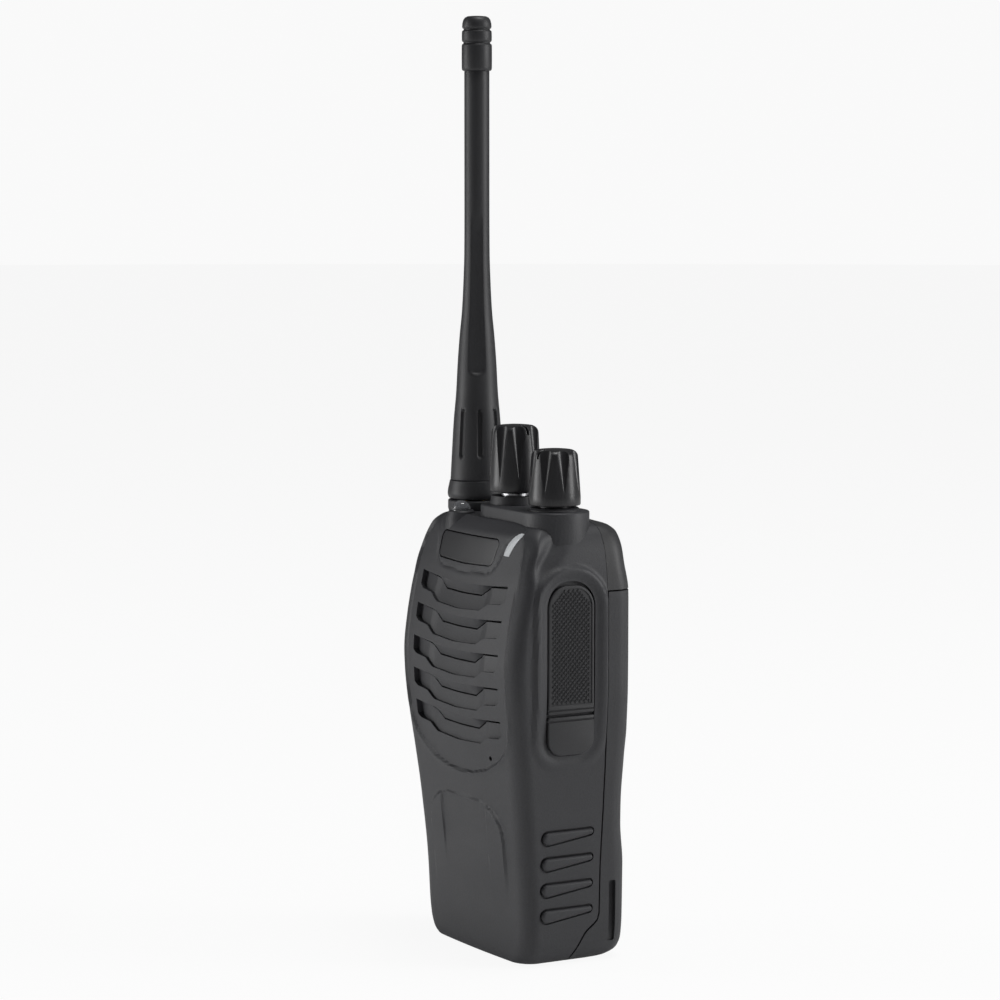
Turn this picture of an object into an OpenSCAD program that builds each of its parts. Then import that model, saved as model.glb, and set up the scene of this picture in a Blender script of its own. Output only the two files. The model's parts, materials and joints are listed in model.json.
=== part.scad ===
// Handheld two-way radio: keyed assembly of shells, controls, antenna and battery.
// X to the radio's jack side, Y to its back, Z up. Millimetres, base on Z = 0.

/* [Body] */
// half width added to or taken from the case outline
width_trim = 0; // [-0.4:0.1:0.4]
// wall thickness of the case sides
wall = 1.8; // [1.6:0.1:2.0]
// wall thickness of the case front
front_wall = 2.4; // [2.2:0.1:2.6]
// gap between the battery and the radio
battery_gap = 0.3; // [0.2:0.05:0.4]

/* [Speaker] */
// distance between speaker louvres
louvre_pitch = 8.47; // [8.3:0.01:8.6]
// number of speaker louvres
louvre_count = 5; // [3:1:5]
// radius of the loudspeaker basket
speaker_r = 18; // [16:0.5:18]

/* [Controls] */
// distance between antenna, channel knob and volume knob
control_pitch = 19.7; // [19.4:0.1:19.8]
// radius at the foot of the knobs
knob_r = 6.6; // [6.2:0.1:6.8]
// number of finger flutes round a knob
flutes = 8; // [6:1:10]

/* [Antenna] */
// height of the antenna tip above the base
antenna_top = 239.7; // [200:0.1:245]

/* [Side] */
// distance between the side ribs
rib_pitch = 6.66; // [6.5:0.02:7]
// distance between the two accessory jacks
jack_pitch = 11.4; // [11.4:0.1:11.6]

/* [Hidden] */

ctl_y = 0.6;
ch_x = -0.7;
vol_x = ch_x + control_pitch;
ant_x = ch_x - control_pitch;
jack_y = -1;
jack_z = 80;
plan_r = 5;
led_x = -13;
led_y = -8.3;
mic_x = 15;
mic_z = 52.6;
spk_z = 75;
seam = 9.6;

// half width against height
wtab = [[0, 22.4], [0.7, 24.2], [2.6, 25.8], [5.5, 26.6], [10, 26.8], [25, 27.1], [35, 27.6],
  [42, 28.0], [50, 28.7], [60, 29.3], [70, 29.9], [80, 30], [92, 30], [99, 29.6],
  [104.5, 28.7], [108.6, 27], [111, 24.6], [112, 21]];
// front face against height
ftab = [[0, -10.5], [0.7, -11.9], [2.6, -12.4], [20, -13.3], [35, -14.6], [50, -16.3],
  [60, -17.7], [70, -18.7], [76, -18.9], [85, -18.3], [91, -17.5], [96, -16.5],
  [101, -15.5], [108.6, -13.4], [111, -11.2], [112, -9.6]];
// back face against height
btab = [[0, 13], [0.7, 15.6], [2.6, 17.7], [5.5, 18.2], [24, 18.3], [35, 17.3], [42, 17.2],
  [52, 17.5], [60, 18], [95, 18], [102, 17.1], [106, 16.9], [109.3, 16.4],
  [111, 15], [112, 12.4]];
zs = [0, 0.7, 2.6, 5.5, 10, 25, 35, 50, 60, 70, 76, 85, 92, 99, 104.5, 108.6, 111, 112];
// levels of the corner outlines, between those of the sides
zc = [0, 1.6, 4, 8, 17, 30, 46, 54.6, 65, 73, 80.4, 88, 95.6, 102.8, 106.6, 110, 112];

function wide(z) = lookup(z, wtab) + width_trim;
function back(z) = lookup(z, btab);
function front(z) = -lookup(z, ftab);
function rev(v) = [for (i = [len(v) - 1:-1:0]) v[i]];

// a level drawn in by s from the nearer end of the radio
function level(z, s) = z < 56 ? z + s : z - s;
function arc(x, y, r, a0, a1, n) = [for (i = [0:n])
  [x + r * cos(a0 + (a1 - a0) * i / n), y + r * sin(a0 + (a1 - a0) * i / n)]];

module xz_outline(s) {
  polygon(concat([for (z = zs) [wide(z) - s, level(z, s)]],
    rev([for (z = zs) [s - wide(z), level(z, s)]])));
}
module yz_outline(s) {
  polygon(concat([for (p = btab) [p[1] - s, level(p[0], s)]],
    rev([for (p = ftab) [p[1] + s, level(p[0], s)]])));
}
// corner outline seen along a diagonal, with the corner radius in plan
module corner_outline(s) {
  c = cos(45);
  polygon(concat(
    [for (z = zc) [(wide(z) + front(z) - 2 * plan_r) * c + plan_r - s, level(z, s)]],
    rev([for (z = zc) [(2 * plan_r - wide(z) - back(z)) * c - plan_r + s, level(z, s)]])));
}
// prisms: along Y from an XZ outline, along X from a YZ outline
module along_y(y0, y1) { translate([0, y1, 0]) rotate([90, 0, 0]) linear_extrude(y1 - y0) children(); }
module along_x(x0, x1) { translate([x0, 0, 0]) rotate([90, 0, 90]) linear_extrude(x1 - x0) children(); }
module box(a, b) { translate(a) cube([b[0] - a[0], b[1] - a[1], b[2] - a[2]]); }
module cyl(x, y, z0, z1, r) { translate([x, y, z0]) cylinder(h = z1 - z0, r = r); }
module cyl_y(x, z, y0, y1, r) { translate([x, y1, z]) rotate([90, 0, 0]) cylinder(h = y1 - y0, r = r); }
module cyl_x(y, z, x0, x1, r) { translate([x0, y, z]) rotate([0, 90, 0]) cylinder(h = x1 - x0, r = r); }
module rrect(a, b, r) {
  polygon(concat(arc(b[0] - r, b[1] - r, r, 0, 90, 6), arc(a[0] + r, b[1] - r, r, 90, 180, 6),
    arc(a[0] + r, a[1] + r, r, 180, 270, 6), arc(b[0] - r, a[1] + r, r, 270, 360, 6)));
}

// outer form of the whole closed radio, drawn in by s at the sides and f at front and back
module form(s, f) {
  intersection() {
    along_y(-25, 25) xz_outline(s);
    along_x(-40, 40) yz_outline(f);
    rotate([0, 0, 45]) along_y(-45, 45) mirror([1, 0]) corner_outline(s);
    rotate([0, 0, -45]) along_y(-45, 45) corner_outline(s);
  }
}
// side view of everything in front of the joint between radio and battery, moved back by g
module seam_side(g) {
  polygon([[-30, -5], [2 + g, -5], [2 + g, 1.6], [3.1 + g, 4.2 - g / 3], [4.3 + g, 6.6 - g / 2],
    [5.8 + g, 8.7 - g], [8.9 + g, 11.2 - g], [9.2 + g, 25], [seam + g, 40], [seam + g, 130], [-30, 130]]);
}
// one speaker recess, its hanging louvre and its slit, top edge at 0
module recess_outline() {
  polygon([[-22, 0], [-11, -0.7], [0, -1], [11, -0.7], [22, 0], [22, -5], [14.5, -5], [12.5, -7.4],
    [-12.5, -7.4], [-14.5, -5], [-22, -5]]);
}
module louvre_outline() { polygon([[-13.5, 1], [-8.7, -2.9], [8.7, -2.9], [13.5, 1]]); }
module slit_outline() {
  polygon([[-21, -0.9], [-13.6, -0.9], [-8.9, -3.7], [8.9, -3.7], [13.6, -0.9], [21, -0.9],
    [21, -0.3], [13.2, -0.3], [8.6, -2.9], [-8.6, -2.9], [-13.2, -0.3], [-21, -0.3]]);
}
module plate_outline(g) {
  polygon(concat(arc(12.6, 106.2, 1.4 + g, 0, 90, 4), arc(-13.2, 106.2, 1.4 + g, 90, 180, 4),
    arc(-12.6, 102.9, 1.7 + g, 190, 262, 5), [[-0.3, 100.8 - g]], arc(11.6, 102.9, 1.7 + g, 278, 350, 5)));
}
module light_outline(g) {
  polygon(concat(arc(23.6, 104.4, 6.2 + g, 183, 118, 8), arc(33, 100.4, 13.4 - g, 137, 165.5, 8)));
}
module cover_outline(g, z0) {
  intersection() {
    polygon(concat(arc(0.1, 91.6, 5.6 + g, 0, 90, 6), arc(-2.1, 91.6, 5.6 + g, 90, 180, 6),
      arc(-3.5, 58.6, 4.2 + g, 180, 270, 6), arc(1.5, 58.6, 4.2 + g, 270, 360, 6)));
    translate([-20, z0]) square([40, 60]);
  }
}
// seat of the jack cover, a little wider than the cover and round at its top
module seat_outline() {
  polygon(concat(arc(-0.6, 91.7, 6.6, 0, 90, 6), arc(-1.4, 91.7, 6.6, 90, 180, 6),
    arc(-3.5, 58.6, 4.5, 180, 270, 6), arc(1.5, 58.6, 4.5, 270, 360, 6)));
}
// drop-shaped rib on the side, big end forward
module drop_outline(g) {
  lean = atan2(0.85, 12.3);
  touch = acos(0.85 / norm([12.3, 0.85]));
  polygon(concat(arc(-6.2, 0, 1.6 + g, lean + touch, lean + 360 - touch, 16),
    arc(6.1, 0.85, 0.75 + g, lean - touch, lean + touch, 8)));
}
// stadium key outline for the side keys
module key_outline(h, z0, z1, g) { rrect([-h - g, z0 - g], [h + g, z1 + g], min(h, (z1 - z0) / 2) - 0.4); }

module front_case() {
  color([0.10, 0.10, 0.11]) difference() {
    union() {
      difference() {
        union() {
          intersection() {
            form(0, 0);
            along_x(-40, 40) seam_side(0);
          }
          // platform under the two knobs
          cyl(ch_x, ctl_y, 110, 115, 8.7);
          cyl(vol_x, ctl_y, 110, 115, 8.7);
          box([ch_x, ctl_y - 8.7, 110], [vol_x, ctl_y + 8.7, 115]);
          // collar under the antenna
          translate([ant_x, ctl_y, 108]) cylinder(h = 4, r1 = 5.6, r2 = 7.6);
          cyl(ant_x, ctl_y, 112, 114.6, 7.6);
          // boss round the torch lamp
          cyl(led_x, led_y, 109, 112.7, 3.5);
        }
        intersection() {
          form(wall, front_wall);
          along_x(-40, 40) polygon([[-20, 2], [0.2, 2], [1.2, 6.8], [3.8, 12.4], [7.2, 15.4],
            [9.9, 15.4], [9.9, 120], [-20, 120]]);
        }
      }
      // drop ribs standing in their grooves
      for (i = [0:3]) intersection() {
        along_x(24, 30) translate([0, 13.2 + i * rib_pitch]) drop_outline(0);
        form(-0.45, 0);
      }
      // arched lip round the jack cover
      intersection() {
        along_x(26, 30.5) difference() {
          rrect([-9.6, 51.4], [7.6, 101.4], 8.2);
          seat_outline();
        }
        form(-0.5, 0);
      }
    }
    // speaker recesses and slits
    for (i = [0:louvre_count - 1]) translate([0, 0, 96.5 - i * louvre_pitch]) {
      along_y(-20, -10) slit_outline();
    }
    difference() {
      along_y(-20, -12) for (i = [0:louvre_count - 1]) translate([0, 96.5 - i * louvre_pitch]) difference() {
        recess_outline();
        louvre_outline();
      }
      form(-5, 1.3);
    }
    // sound hole of the microphone
    cyl_y(mic_x, mic_z, -20, -8, 0.6);
    // nameplate pocket
    difference() {
      along_y(-20, -8) plate_outline(0.3);
      form(-5, 1);
    }
    // window of the status light
    along_y(-20, -8) light_outline(0.05);
    // lower arched panel with its two ridge lines
    difference() {
      along_y(-20, -8) polygon([[-18.5, 25], [18.5, 25], [19, 36.6], [16.5, 40.2], [12.7, 42], [0, 43],
        [-12.7, 42], [-16.5, 40.2], [-19, 36.6]]);
      form(-5, 0.35);
    }
    // seat of the jack cover, and the way through to the jacks
    along_x(28.7, 32) seat_outline();
    along_x(24, 30) rrect([-5, 69], [4, 91], 2);
    // grooves round the drop ribs
    for (i = [0:3]) difference() {
      along_x(24, 32) translate([0, 13.2 + i * rib_pitch]) difference() {
        drop_outline(0.5);
        drop_outline(0);
      }
      form(0.5, -5);
    }
    // holes for the control bushings, lamp and antenna socket
    cyl(ch_x, ctl_y, 105, 120, 3.6);
    cyl(vol_x, ctl_y, 105, 120, 3.6);
    cyl(led_x, led_y, 105, 120, 2.55);
    cyl(ant_x, ctl_y, 105, 120, 3.6);
    // side key holes
    along_x(-35, -24) key_outline(6, 66, 92, 0.3);
    along_x(-35, -24) key_outline(4, 57.5, 62.5, 0.3);
    along_x(-35, -24) key_outline(4, 48.5, 53.5, 0.3);
  }
}
module speaker_felt() { color([0.06, 0.06, 0.06]) cyl_y(0, spk_z, -14.25, -13.95, speaker_r); }
module speaker_frame() {
  color([0.35, 0.36, 0.38]) translate([0, -13.9, spk_z]) rotate([-90, 0, 0]) rotate_extrude()
    polygon([[speaker_r - 1.2, 0], [speaker_r, 0], [speaker_r, 2], [12, 5], [9, 5], [9, 4.2],
      [11.7, 4.2], [speaker_r - 1.2, 1.4]]);
}
module speaker_cone() {
  color([0.12, 0.11, 0.10]) translate([0, -13.9, spk_z]) rotate([-90, 0, 0]) rotate_extrude()
    polygon([[0, 1.2], [3, 1.4], [5, 2.6], [speaker_r - 1.3, 0.2], [speaker_r - 1.3, 0.6], [5, 3.1],
      [2.9, 1.8], [0, 1.6]]);
}
module speaker_magnet() {
  color([0.30, 0.31, 0.33]) difference() {
    cyl_y(0, spk_z, -8.8, -5.4, 8.6);
    cyl_y(0, spk_z, -9.4, -6.4, 5.2);
  }
}
module microphone() { color([0.75, 0.75, 0.77]) cyl_y(mic_x, mic_z, -12.5, -10.5, 2); }
module mic_boot() {
  color([0.05, 0.05, 0.05]) difference() {
    cyl_y(mic_x, mic_z, -13.5, -10.3, 3);
    cyl_y(mic_x, mic_z, -12.5, -9.5, 2);
    cyl_y(mic_x, mic_z, -14.5, -11.5, 0.8);
  }
}
module status_light_guide() {
  color([0.80, 0.82, 0.84, 0.8]) intersection() {
    along_y(-20, -8) light_outline(0);
    form(0.05, 0.05);
  }
}
module torch_led() {
  color([0.90, 0.93, 0.95, 0.5]) union() {
    cyl(led_x, led_y, 107, 113, 2.5);
    intersection() {
      translate([led_x, led_y, 112.8]) sphere(r = 2.5);
      cyl(led_x, led_y, 112.8, 116, 3);
    }
  }
}
module nameplate() {
  color([0.13, 0.13, 0.14]) difference() {
    intersection() {
      along_y(-20, -8) plate_outline(0);
      form(0, 0.15);
    }
    form(-5, 1);
  }
}
module main_pcb() {
  color([0.05, 0.28, 0.14]) difference() {
    box([-22, 5, 18], [22, 6.2, 96]);
    for (x = [-19, 19], z = [26, 92]) cyl_y(x, z, 4, 7, 1.3);
  }
}
module rf_shield() {
  color([0.75, 0.76, 0.78]) difference() {
    box([-16, 2.6, 24], [16, 5, 48]);
    box([-15.6, 3, 24.4], [15.6, 5.5, 47.6]);
    for (x = [-12:6:12], z = [30:6:42]) cyl_y(x, z, 2, 4, 0.8);
  }
}
module chassis() {
  color([0.08, 0.08, 0.09]) difference() {
    union() {
      box([-24, 6.4, 16.5], [24, 8.9, 106]);
      // pillars for the screws and the rear top block above the battery
      for (x = [-19, 19], z = [26, 92]) cyl_y(x, z, 6.2, 7, 2);
      intersection() {
        form(0, 0);
        box([-40, seam + 0.1, 95.3], [40, 30, 120]);
      }
      intersection() {
        form(wall + 0.3, 3);
        box([-24, 8.5, 95.3], [24, 10, 108]);
      }
      // rails that hold the battery
      for (x = [-22, 22], z = [30, 72]) {
        box([x - 0.6, 8.5, z], [x + 0.6, 11.6, z + 6]);
        box([x - 1.6, 11.5, z], [x + 1.6, 12.4, z + 6]);
      }
    }
    // seat of the belt clip with its two screw holes
    along_y(16.3, 21) rrect([-13, 97.5], [13, 108.5], 2);
    for (x = [-8, 8]) cyl_y(x, 103, 10.7, 20, 1.25);
    for (x = [-19, 19], z = [26, 92]) {
      cyl_y(x, z, 6, 10, 1.1);
      cyl_y(x, z, 8, 10, 2.1);
    }
    // way for the battery contacts
    box([-7, 6, 84], [7, 9.5, 90]);
  }
}
module screw_at(x, z) {
  difference() {
    union() {
      cyl_y(x, z, 8, 8.9, 1.9);
      cyl_y(x, z, 2, 8.2, 1);
    }
    translate([x, 8.5, z]) for (a = [0, 90]) rotate([0, a, 0]) box([-1.1, 0, -0.22], [1.1, 1, 0.22]);
  }
}
module chassis_screws() { color([0.55, 0.56, 0.58]) for (x = [-19, 19], z = [26, 92]) screw_at(x, z); }
module antenna_socket() {
  color([0.80, 0.66, 0.32]) difference() {
    union() {
      cyl(ant_x, ctl_y, 103, 119.5, 3.1);
      cyl(ant_x, ctl_y, 103, 105, 4.2);
    }
    cyl(ant_x, ctl_y, 109, 121, 1.3);
  }
}
module antenna_socket_nut() {
  color([0.78, 0.66, 0.36]) difference() {
    cyl(ant_x, ctl_y, 105, 107, 4.4, $fn = 6);
    cyl(ant_x, ctl_y, 104, 110, 3.1);
  }
}
module control_body(x, w, z0) {
  difference() {
    union() {
      box([x - w, ctl_y - 4.8, z0], [x + w, ctl_y + 3.6, 106]);
      cyl(x, ctl_y, 105.5, 117.8, 3.5);
    }
    cyl(x, ctl_y, z0 + 1.4, 120, 3.05);
  }
}
module volume_pot() { color([0.45, 0.46, 0.48]) control_body(vol_x, 5, 99.2); }
module channel_switch() { color([0.20, 0.22, 0.30]) control_body(ch_x, 5.6, 97.8); }
module control_nuts() {
  color([0.16, 0.16, 0.17]) for (x = [ch_x, vol_x]) difference() {
    cyl(x, ctl_y, 115, 117.2, 4.2);
    cyl(x, ctl_y, 114, 119, 3.5);
  }
}
module jack_block() {
  color([0.04, 0.04, 0.04]) difference() {
    box([15, jack_y - 4, jack_z - 10.6], [28.4, jack_y + 4, jack_z + 10.6]);
    cyl_x(jack_y, jack_z - jack_pitch / 2, 15.8, 30, 1.75);
    cyl_x(jack_y, jack_z + jack_pitch / 2, 15.8, 30, 1.25);
  }
}
module cover_tail(z0, z1) {
  difference() {
    intersection() {
      along_x(28.75, 30.1) cover_outline(0, 50);
      box([20, -20, z0], [40, 20, z1]);
    }
    along_x(29.6, 31) translate([-20, 63.1]) square([40, 0.6]);
  }
}
module jack_cover_anchor() { color([0.06, 0.06, 0.06]) cover_tail(50, 64.3); }
module jack_cover() {
  color([0.06, 0.06, 0.06]) union() {
    difference() {
      intersection() {
        along_x(28.85, 30.2) cover_outline(0, 50);
        box([20, -20, 64.9], [40, 20, 110]);
      }
      along_x(29.7, 31) translate([-20, 65.9]) square([40, 0.5]);
    }
    // raised grip pads
    for (i = [0:10], j = [0:4]) {
      z = 69 + i * 2.2;
      y = -5.1 + j * 2.05;
      along_x(30.1, 30.55) translate([y, z]) rotate(45) square(1.1, center = true);
    }
    // plugs that seal the jacks
    cyl_x(jack_y, jack_z - jack_pitch / 2, 28.5, 28.9, 2.4);
    cyl_x(jack_y, jack_z + jack_pitch / 2, 28.5, 28.9, 2.4);
  }
}
module side_board() { color([0.05, 0.28, 0.14]) box([-24.3, -5, 46], [-23.5, 4.4, 94]); }
module side_switches() {
  color([0.70, 0.70, 0.68]) for (z = [51, 60, 79]) union() {
    box([-25.4, -2.2, z - 2.2], [-24.3, 2.2, z + 2.2]);
    cyl_x(0, z, -25.65, -25.3, 1);
  }
}
module power_contacts() {
  color([0.82, 0.68, 0.34]) for (x = [-5, 0, 5]) union() {
    box([x - 0.9, 6.3, 84.6], [x + 0.9, 8.6, 89.4]);
    box([x - 0.6, 8.5, 86], [x + 0.6, 9.6, 88]);
  }
}
module knob(x, z0, z1, r0, r1, seat) {
  difference() {
    translate([x, ctl_y, 0]) rotate_extrude() polygon([[0, z0], [r0 - 0.4, z0], [r0, z0 + 0.4],
      [r0, z0 + 1.2], [r1, z1 - 1], [r1 - 0.9, z1 - 0.1], [r1 - 1.2, z1], [0, z1]]);
    cyl(x, ctl_y, z0 - 1, z1 - 2.4, 3);
    cyl(x, ctl_y, z0 - 1, z0 + seat, 4.7);
    // finger flutes, wide at the top and running out at the foot
    for (i = [0:flutes - 1]) translate([x, ctl_y, z0 + 2.2]) rotate([0, 0, 22.5 + i * 360 / flutes])
      translate([r0, 0, 0]) rotate([0, -5.5 - atan((r0 - r1) / (z1 - z0)), 0])
        linear_extrude(z1 - z0 + 2) polygon([[0, 0], [2.2, -2.2], [2.2, 2.2]]);
    // pointer line
    box([x - 0.3, ctl_y - 6.5, z1 - 0.4], [x + 0.3, ctl_y - 1.5, z1 + 1]);
  }
}
module volume_knob() { color([0.08, 0.08, 0.09]) knob(vol_x, 116.4, 130.6, knob_r, knob_r - 0.7, 1.4); }
module channel_knob() { color([0.08, 0.08, 0.09]) knob(ch_x, 118.3, 135.4, knob_r, knob_r - 0.55, 0); }
module volume_shaft() { color([0.70, 0.71, 0.73]) cyl(vol_x, ctl_y, 101, 128.2, 3); }
module channel_shaft() { color([0.70, 0.71, 0.73]) cyl(ch_x, ctl_y, 99.6, 133, 3); }
module side_key(h, z0, z1, x_cap, x_wall, x_in) {
  union() {
    along_x(x_cap, x_in) key_outline(h, z0, z1, 0);
    along_x(x_wall, x_in) key_outline(h, z0, z1, 0.9);
  }
}
module ptt_button() {
  color([0.07, 0.07, 0.07]) difference() {
    side_key(6, 66, 92, -30.9, -27.9, -26.8);
    // grip lines across the button
    for (i = [0:4]) box([-31.5, -3.4, 74 + i * 2.4], [-30.5, 3.4, 74.8 + i * 2.4]);
  }
}
module monitor_key() { color([0.07, 0.07, 0.07]) side_key(4, 57.5, 62.5, -29.9, -26.7, -26.1); }
module torch_key() { color([0.07, 0.07, 0.07]) side_key(4, 48.5, 53.5, -29.4, -26.55, -26.1); }
module battery_shell() {
  color([0.10, 0.10, 0.11]) difference() {
    intersection() {
      form(0, 0);
      difference() {
        along_x(-40, 40) translate([0, -5]) square([40, 99.9]);
        along_x(-41, 41) seam_side(battery_gap);
      }
    }
    // room for the lid and cell
    intersection() {
      form(1.9, 1.5);
      box([-40, seam - 1, 14.5], [40, 20, 93]);
    }
    // charging guide grooves
    for (x = [-30, 25.8]) box([x, 12.1, 4.9], [x + 4.2, 14.1, 20.6]);
    // seats of the charging contacts
    for (x = [-9, 9]) cyl_y(x, 9, 17.8, 21, 2.6);
    // room for the latch
    box([-8.3, 4.7, -1], [8.3, 14.3, 3.4]);
    box([-6.3, 6.7, 1], [6.3, 14.3, 4.6]);
  }
}
module battery_lid() {
  color([0.09, 0.09, 0.10]) difference() {
    intersection() {
      form(2, 1.6);
      box([-40, seam + battery_gap, 14.6], [40, seam + battery_gap + 1.3, 92.9]);
    }
    for (x = [-22, 22]) {
      box([x - 1, 9, 29], [x + 1, 12, 95]);
      for (z = [44.7, 86.7]) box([x - 2, 9, z], [x + 2, 12, z + 6.6]);
    }
    for (x = [-5, 0, 5]) box([x - 1.6, 9, 84.6], [x + 1.6, 12, 89.4]);
  }
}
module battery_cell() { color([0.60, 0.62, 0.64]) box([-19.5, 11.4, 17], [19.5, 15.5, 82]); }
module battery_board() { color([0.05, 0.28, 0.14]) box([-12, 11.3, 83.5], [12, 12.1, 91.5]); }
module battery_terminals() {
  color([0.85, 0.70, 0.35]) for (x = [-5, 0, 5]) box([x - 1.5, 10.3, 84.8], [x + 1.5, 11.3, 89.2]);
}
module charge_contacts() {
  color([0.85, 0.70, 0.35]) for (x = [-9, 9]) union() {
    cyl_y(x, 9, 17.8, 18.1, 2.5);
  }
}
module battery_latch() {
  color([0.09, 0.09, 0.10]) difference() {
    union() {
      box([-8, 5, 0.6], [8, 11.6, 3.1]);
      box([-6, 7, 3], [6, 11.6, 4.3]);
    }
    for (i = [0:3]) box([-5, 6 + i * 1.3, 0], [5, 6.6 + i * 1.3, 1]);
  }
}
// rubber sheath: profile radius against height
stab = [[7.1, 114.9], [7.6, 115.4], [7.7, 116.4], [7.2, 119], [7.0, 119.6], [6.7, 119.7], [6.9, 120],
  [6.1, 135], [5.45, 142.6], [5.06, 150], [4.55, 157], [3.9, 164], [3.5, 172], [3.3, 179], [3.25, 190]];
module antenna_sheath() {
  color([0.05, 0.05, 0.06]) difference() {
    translate([ant_x, ctl_y, 0]) rotate_extrude() polygon(concat([[0, 114.9]], stab,
      [[3.25, antenna_top - 14.2], [0, antenna_top - 14.2]]));
    // socket for the screw connector, bore for the whip
    cyl(ant_x, ctl_y, 110, 122, 5);
    cyl(ant_x, ctl_y, 121, antenna_top - 10, 1.1);
    // upright grooves round the grip
    for (i = [0:7]) translate([ant_x, ctl_y, 0]) rotate([0, 0, 22.5 + i * 45]) {
      translate([6.85, 0, 126.2]) rotate([0, -2.5, 0]) cylinder(h = 11.6, r = 0.6);
    }
    // flat on the lower taper, facing the front corner
    translate([ant_x, ctl_y, 147]) rotate([0, 0, -30]) rotate([0, -3.2, 0]) box([4.35, -4, 0], [8, 4, 42]);
  }
}
module antenna_tip_cap() {
  t = antenna_top;
  color([0.05, 0.05, 0.06]) difference() {
    translate([ant_x, ctl_y, 0]) rotate_extrude() polygon([[0, t - 14.1], [3.5, t - 14.1], [3.9, t - 13.4],
      [3.9, t - 7.4], [3.5, t - 6.9], [3.5, t - 6.7], [3.85, t - 6.3], [3.85, t - 4], [3.5, t - 3.6],
      [3.5, t - 3.4], [3.75, t - 3], [3.5, t - 0.8], [2.9, t - 0.15], [2.2, t], [0, t]]);
    cyl(ant_x, ctl_y, t - 15, t - 9, 1.1);
  }
}
module antenna_core() { color([0.72, 0.60, 0.30]) cyl(ant_x, ctl_y, 124, antenna_top - 9.5, 1.1); }
module antenna_connector() {
  color([0.80, 0.66, 0.32]) difference() {
    union() {
      cyl(ant_x, ctl_y, 115.2, 122, 5);
      cyl(ant_x, ctl_y, 122, 124, 1.1);
    }
    cyl(ant_x, ctl_y, 115, 120.6, 3.15);
  }
}

front_case();
speaker_felt();
speaker_frame();
speaker_cone();
speaker_magnet();
microphone();
mic_boot();
status_light_guide();
torch_led();
nameplate();
main_pcb();
rf_shield();
chassis();
chassis_screws();
antenna_socket();
antenna_socket_nut();
volume_pot();
channel_switch();
control_nuts();
jack_block();
jack_cover_anchor();
side_board();
side_switches();
power_contacts();
volume_knob();
volume_shaft();
channel_knob();
channel_shaft();
ptt_button();
monitor_key();
torch_key();
jack_cover();
battery_shell();
battery_lid();
battery_cell();
battery_board();
battery_terminals();
charge_contacts();
battery_latch();
antenna_sheath();
antenna_tip_cap();
antenna_core();
antenna_connector();
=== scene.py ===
# %% [markdown]
# # A handheld two-way radio
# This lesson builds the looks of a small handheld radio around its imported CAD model. The CAD
# model is the frame: every piece stays in the same place, in metres, and rides on the CAD
# body it belongs to. Pieces whose CAD shape is right get a better material, and the moulded
# shells, knobs, rubber parts and the antenna are modelled again in more detail.

# %% Load the frame
import json
import math

import bpy
import numpy as np
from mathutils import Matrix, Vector


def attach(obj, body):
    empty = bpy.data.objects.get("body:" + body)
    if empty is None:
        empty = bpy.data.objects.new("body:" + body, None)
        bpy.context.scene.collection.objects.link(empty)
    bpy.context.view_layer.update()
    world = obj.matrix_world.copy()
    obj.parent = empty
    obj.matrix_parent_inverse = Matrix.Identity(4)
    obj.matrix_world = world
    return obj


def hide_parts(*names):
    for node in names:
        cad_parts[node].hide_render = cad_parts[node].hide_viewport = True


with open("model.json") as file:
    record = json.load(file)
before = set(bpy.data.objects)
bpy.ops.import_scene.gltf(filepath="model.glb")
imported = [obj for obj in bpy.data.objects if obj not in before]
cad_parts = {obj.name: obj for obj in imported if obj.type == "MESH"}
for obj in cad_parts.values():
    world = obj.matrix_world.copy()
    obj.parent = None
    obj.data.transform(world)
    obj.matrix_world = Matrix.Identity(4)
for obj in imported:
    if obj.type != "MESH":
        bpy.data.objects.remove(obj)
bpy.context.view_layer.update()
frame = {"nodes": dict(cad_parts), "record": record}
nodes = frame["nodes"]

# %% [markdown]
# ## Camera, floor and light
# The camera stands higher than the radio's body and looks at its front and its jack side,
# with a long lens so that upright edges stay upright. One soft light hangs above, one stands
# behind the jack side, one in front on the other side, and a low one shines up into the
# speaker recesses. The floor and the backdrop look nearly white but must not flood a dark
# object with light, so they have one brightness for camera rays and a lower one for the rest.

# %% Camera
CAMERA_PLACE = (0.7516, -0.4382, 0.202)
LOOK_AT = (-0.00185, -0.0032, 0.116)
LENS_MM = 122.8

bpy.ops.object.select_all(action="DESELECT")
bpy.ops.object.camera_add(location=CAMERA_PLACE)
camera = bpy.context.active_object
camera.name = "camera"
camera.data.lens = LENS_MM
camera.data.sensor_width = 36.0
camera.data.clip_start = 0.01
look = Vector(LOOK_AT) - camera.location
camera.rotation_euler = look.to_track_quat("-Z", "Y").to_euler()
bpy.context.scene.camera = camera
print("camera", round(look.length, 3), "m from the radio")

# %% Lights
def area_light(name, place, target, size, watts):
    """A rectangular light at a place, turned to its target; its size is in metres."""
    bpy.ops.object.light_add(type="AREA", location=place)
    lamp = bpy.context.active_object
    lamp.name = name
    lamp.data.shape = "RECTANGLE"
    lamp.data.size, lamp.data.size_y = size
    lamp.data.energy = watts
    lamp.rotation_euler = (Vector(target) - lamp.location).to_track_quat("-Z", "Y").to_euler()
    return lamp


area_light("key", (0.15, 0.15, 1.2), (0, 0, 0.08), (0.5, 0.5), 6.2)
area_light("side", (0.75, 1.0, 0.45), (0, 0, 0.09), (0.4, 0.8), 7.5)
area_light("left_panel", (-0.75, -1.1, 0.35), (0, 0, 0.09), (0.5, 0.9), 5.6)
area_light("low", (-0.35, -0.8, 0.03), (0, 0, 0.1), (0.7, 0.1), 1.2)

# %% Floor
WHITE = (1, 1, 1, 1)
FLOOR_RADIUS = 6


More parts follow.
